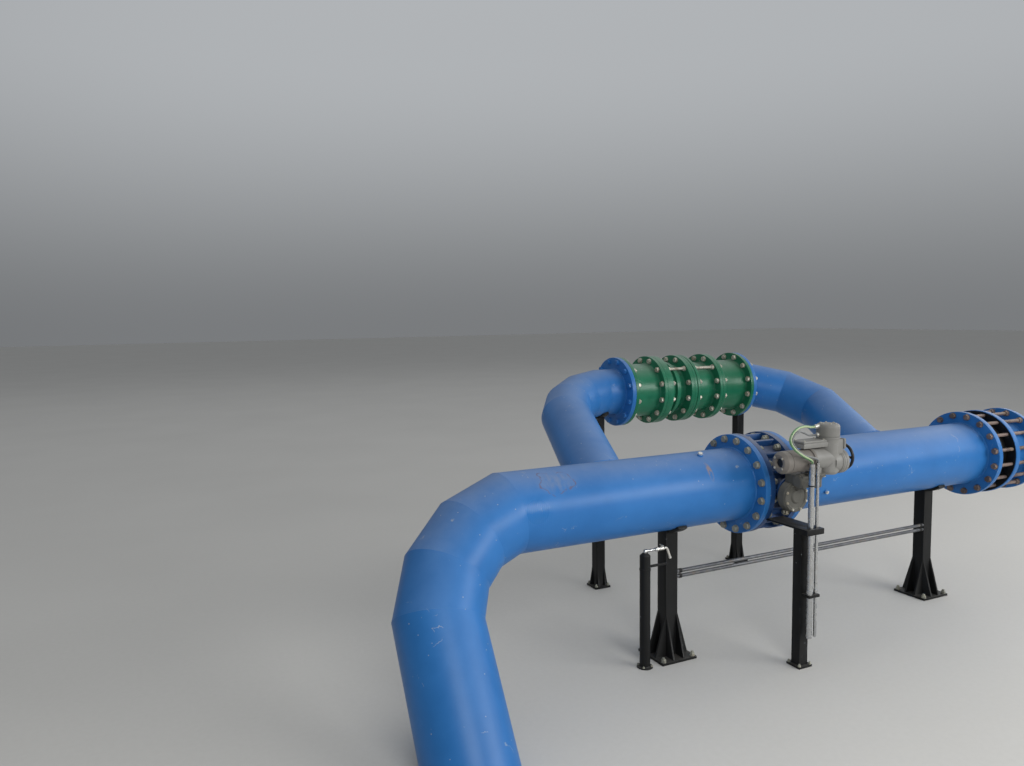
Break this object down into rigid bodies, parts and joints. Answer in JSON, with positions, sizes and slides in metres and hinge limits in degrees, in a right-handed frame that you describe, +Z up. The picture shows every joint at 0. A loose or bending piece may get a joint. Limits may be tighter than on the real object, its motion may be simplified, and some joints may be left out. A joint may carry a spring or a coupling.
{
  "type": "pump station pipe line with valve and bypass",
  "caption": "Blue welded pumping station pipe line rising from the floor, with a motor driven butterfly valve and a raised bypass holding a green check valve.",
  "frame": {"origin": "on the floor under the main line, in the middle of the inlet support's base plate", "axes": "+X along the main line towards the outlet, +Y away from the walkway towards the bypass, +Z up"},
  "size_m": [3.9518, 1.9593, 1.392],
  "materials": {
    "blue_paint": "semi-gloss blue paint, dusty on top, with chips and rust drips",
    "blue_casting": "darker blue paint over a rough casting",
    "green_paint": "semi-gloss green paint over cast and turned bodies",
    "black_paint": "black paint, dusty and scuffed",
    "grey_paint": "grey powder coat with grime",
    "galvanised_tube": "dull zinc",
    "bright_metal": "nickel plated, water stained",
    "black_plastic": "black moulded plastic",
    "cable_sheath": "smooth cable sheath"
  },
  "bodies": {
    "pipework": {"drop_leg": "blue_paint", "main_elbow_segment_1": "blue_paint", "main_elbow_segment_2": "blue_paint", "main_elbow_segment_3": "blue_paint", "inlet_pipe": "blue_paint", "valve_inlet_flange": "blue_paint", "valve_outlet_flange": "blue_paint", "valve_body": "blue_casting", "valve_disc": "black_paint", "outlet_pipe": "blue_paint", "outlet_flange": "blue_paint", "make_up_sleeve": "black_paint", "make_up_clamp_flange": "blue_paint", "make_up_tail": "blue_paint", "branch_pipe": "blue_paint", "branch_elbow_segment_1": "blue_paint", "branch_elbow_segment_2": "blue_paint", "branch_elbow_segment_3": "blue_paint", "branch_stub": "blue_paint", "bypass_inlet_flange": "blue_paint", "inlet_spool": "green_paint", "take_up_sleeve": "green_paint", "take_up_gland_ring": "green_paint", "take_up_tail": "green_paint", "check_valve_body": "green_paint", "outlet_spool": "green_paint", "bypass_outlet_flange": "blue_paint", "return_stub": "blue_paint", "return_elbow_segment_1": "blue_paint", "return_elbow_segment_2": "blue_paint", "return_pipe": "blue_paint", "inlet_support": "black_paint", "outlet_support": "black_paint", "branch_support": "black_paint", "return_support": "black_paint", "conduit_post": "black_paint", "conduit_1": "galvanised_tube", "conduit_2": "galvanised_tube", "tie_tube_upper": "galvanised_tube", "tie_tube_lower": "galvanised_tube", "gearbox": "grey_paint", "actuator_body": "grey_paint", "actuator_motor": "grey_paint", "actuator_drum": "grey_paint", "cable_gland_1": "bright_metal", "cable_gland_2": "bright_metal", "cable_1": "cable_sheath", "cable_2": "cable_sheath", "tap_standpipe": "black_paint", "tap_feed_pipe": "galvanised_tube", "tap_body": "bright_metal"},
    "handwheel": {"actuator_handwheel": "black_plastic"},
    "tap_key": {"tap_handle": "bright_metal"}
  },
  "joints": [
    {"name": "handwheel_turn", "type": "hinge", "parent": "pipework", "child": "handwheel", "pos_m": [0.75, -0.36, 0.965], "axis": [1, 0, 0], "continuous": true},
    {"name": "tap_turn", "type": "hinge", "parent": "pipework", "child": "tap_key", "pos_m": [-0.081, -0.062, 0.568], "axis": [0, 0, 1], "range_deg": [0, 90]}
  ]
}
